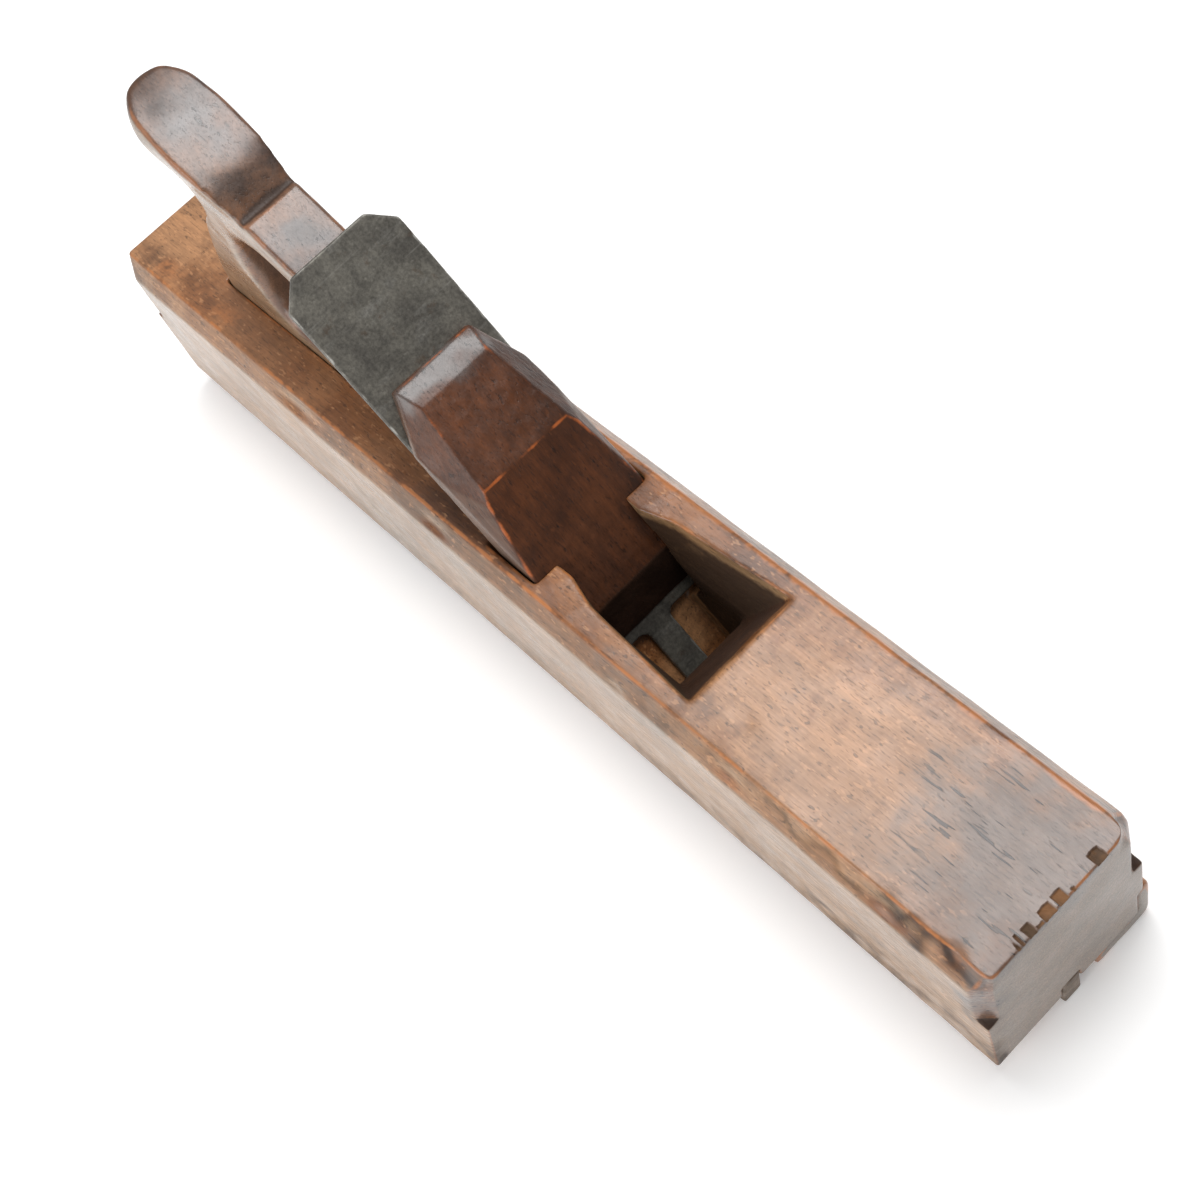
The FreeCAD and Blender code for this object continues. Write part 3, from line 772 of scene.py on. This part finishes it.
def handled_horn(points):
    """Hands wear the horn more than the grip below it."""
    return 0.2 * smoothstep(points[:, 2], at(0, 0, 99.5)[2], at(0, 0, 139.5)[2])


def spur_arris(points):
    """The rubbed edge across the top of the tote, at the rear of its flat spur."""
    return 1.3 * blob(points, at(122, 0, 153.6), (0.8, 60, 1.0))


def spur_valley_shade(points):
    """Painted shade in the hollow just behind that edge, at the foot of the horn."""
    return 0.75 * blob(points, at(118.3, 0, 152.7), (2.3, 60, 2.0))


def make_tote():
    piece = remeshed_copy("tote", voxel_mm=0.8)
    mesh = piece.data
    wear_down(mesh, rounds=12, least=0.3, patch_mm=60, seed=11, extra=handled_horn, rubbed=spur_arris)
    round_horn_tip(mesh)
    undulate(mesh, wavelength_mm=18, height_mm=0.1, seed=31)
    stain(mesh, "dark", tote_grime_and_shade, spur_valley_shade(positions(mesh)))
    stain(mesh, "grey", tote_sheen)
    stain(mesh, "pale", tote_lit_side)
    return piece


# ---- the wedge and the iron ----
def wedge_crease(points):
    """The rubbed crease across the wedge, where its upper and lower faces meet."""
    return 1.2 * blob(points, at(233.1, 0, 101.8), (0.6, 60, 0.6))


def wedge_tip_shade(points):
    """Painted shade on the bevel at the wedge's lower end."""
    down, _ = place_on_bed(points)
    return 0.7 * smoothstep(down, 37.5 * MM, 40 * MM)


def make_wedge():
    piece = remeshed_copy("wedge", voxel_mm=0.7)
    mesh = piece.data
    wear_down(mesh, rounds=4, least=0.3, patch_mm=18, seed=17, rubbed=wedge_crease)
    undulate(mesh, wavelength_mm=15, height_mm=0.1, seed=37)
    # Painted shade where the wedge goes down into the throat and on its lower bevel, painted sheen on
    # its top bevel, and a paler patch on its upper face.
    stain(mesh, "dark", [((252, 0, 74), (18, 25, 14), 0.2)], wedge_tip_shade(positions(mesh)))
    stain(mesh, "grey", [((198.5, 0, 123), (6, 34, 6), 1.2)])
    stain(mesh, "pale", [((215, 0, 118), (8, 20, 8), 0.4)])
    return piece


def make_iron():
    piece = remeshed_copy("cutting_iron", voxel_mm=0.6)
    wear_down(piece.data, rounds=3, least=0.3, patch_mm=12, seed=19)
    undulate(piece.data, wavelength_mm=5, height_mm=0.05, seed=41)
    return piece


# ---- the fence, the tongue and the screws ----
def make_fence():
    piece = remeshed_copy("fence", voxel_mm=1.0)
    wear_down(piece.data, rounds=5, least=0.35, patch_mm=30, seed=23)
    undulate(piece.data, wavelength_mm=20, height_mm=0.08, seed=43)
    return piece


def make_tongue(node):
    piece = remeshed_copy(node, voxel_mm=0.6)
    wear_down(piece.data, rounds=2, least=0.3, patch_mm=12, seed=29)
    return piece


def add_piece(piece, node, body, material):
    piece.data.materials.append(material)
    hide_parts(node)
    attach(piece, body)


def finish_screws():
    for node in ("fence_screws", "tongue_screws"):
        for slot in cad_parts[node].material_slots:
            slot.material = screw_metal


add_piece(make_body(), "body", "stock", body_wood)
add_piece(make_tote(), "tote", "stock", tote_wood)
add_piece(make_wedge(), "wedge", "wedge", wedge_wood)
add_piece(make_iron(), "cutting_iron", "iron", iron_metal)
add_piece(make_fence(), "fence", "stock", fence_wood)
for tongue_node in ("tongue_rear", "tongue_front"):
    add_piece(make_tongue(tongue_node), tongue_node, "stock", tongue_metal)
finish_screws()


# ---- floor, light and camera ----
floor_half = 4.0
light_target = (0, 0, 0.05)
toe_brightness = 0.28
heel_brightness = 0.5


def make_floor():
    """A plain sheet of pale paper, lit a little from within so that it stays pale."""
    mesh = bpy.data.meshes.new("floor")
    corners = [(x * floor_half, y * floor_half, 0) for x, y in ((-1, -1), (1, -1), (1, 1), (-1, 1))]
    mesh.from_pydata(corners, [], [(0, 1, 2, 3)])
    floor = bpy.data.objects.new("floor", mesh)
    bpy.context.scene.collection.objects.link(floor)
    make = Shader("pale_paper", Specular_IOR_Level=0.2, Emission_Color=(1, 1, 1, 1),
                  Emission_Strength=0.22)
    cloud = make.noise(make.object_space, 3, detail=2)
    tone = make.mixed(make.spread(cloud, 0.0, 1.0), (0.90, 0.90, 0.90), (0.93, 0.93, 0.93))
    tooth = make.bump(make.noise(make.object_space, 400), 0.00002)
    mesh.materials.append(make.finish(tone, 0.8, tooth))


def soft_light(name, place, width, height, power):
    data = bpy.data.lights.new(name, "AREA")
    data.shape = "RECTANGLE"
    data.size = width
    data.size_y = height
    data.energy = power
    lamp = bpy.data.objects.new(name, data)
    lamp.location = place
    to_target = Vector(light_target) - Vector(place)
    lamp.rotation_euler = to_target.to_track_quat("-Z", "Y").to_euler()
    bpy.context.scene.collection.objects.link(lamp)


def make_world():
    """A white tent, dimmer beyond the toe, where the photographer stands."""
    world = bpy.data.worlds.new("tent")
    world.use_nodes = True
    tree = world.node_tree
    background = tree.nodes["Background"]
    background.inputs["Color"].default_value = (1.0, 1.0, 1.0, 1.0)
    way = tree.nodes.new("ShaderNodeTexCoord")
    parts = tree.nodes.new("ShaderNodeSeparateXYZ")
    fade = tree.nodes.new("ShaderNodeMapRange")
    fade.interpolation_type = "SMOOTHSTEP"
    fade.inputs["From Min"].default_value = -0.3
    fade.inputs["From Max"].default_value = 0.6
    fade.inputs["To Min"].default_value = heel_brightness
    fade.inputs["To Max"].default_value = toe_brightness
    tree.links.new(way.outputs["Generated"], parts.inputs[0])
    tree.links.new(parts.outputs[0], fade.inputs["Value"])
    tree.links.new(fade.outputs["Result"], background.inputs["Strength"])
    bpy.context.scene.world = world


def make_camera():
    """From above the toe on the right-hand side, rolled so that the plane lies across the view."""
    data = bpy.data.cameras.new("camera")
    data.sensor_width = 36.0
    data.lens = 54.79
    data.shift_x = 0.0166
    data.shift_y = -0.0284
    camera = bpy.data.objects.new("camera", data)
    place = Vector((0.35819, -0.12511, 0.58843))
    aim = Vector((0.01089, -0.00519, 0.04600))
    roll = math.radians(-28.16)
    turn = (aim - place).to_track_quat("-Z", "Y").to_matrix().to_4x4()
    camera.matrix_world = Matrix.Translation(place) @ turn @ Matrix.Rotation(roll, 4, "Z")
    bpy.context.scene.collection.objects.link(camera)
    bpy.context.scene.camera = camera


make_floor()
make_world()
soft_light("side_box", place=(0.1, -1.2, 0.6), width=1.2, height=0.8, power=10)
soft_light("top_box", place=(-0.12, 0.25, 1.25), width=0.8, height=0.8, power=12.5)
make_camera()
bpy.context.scene.view_settings.view_transform = "Standard"
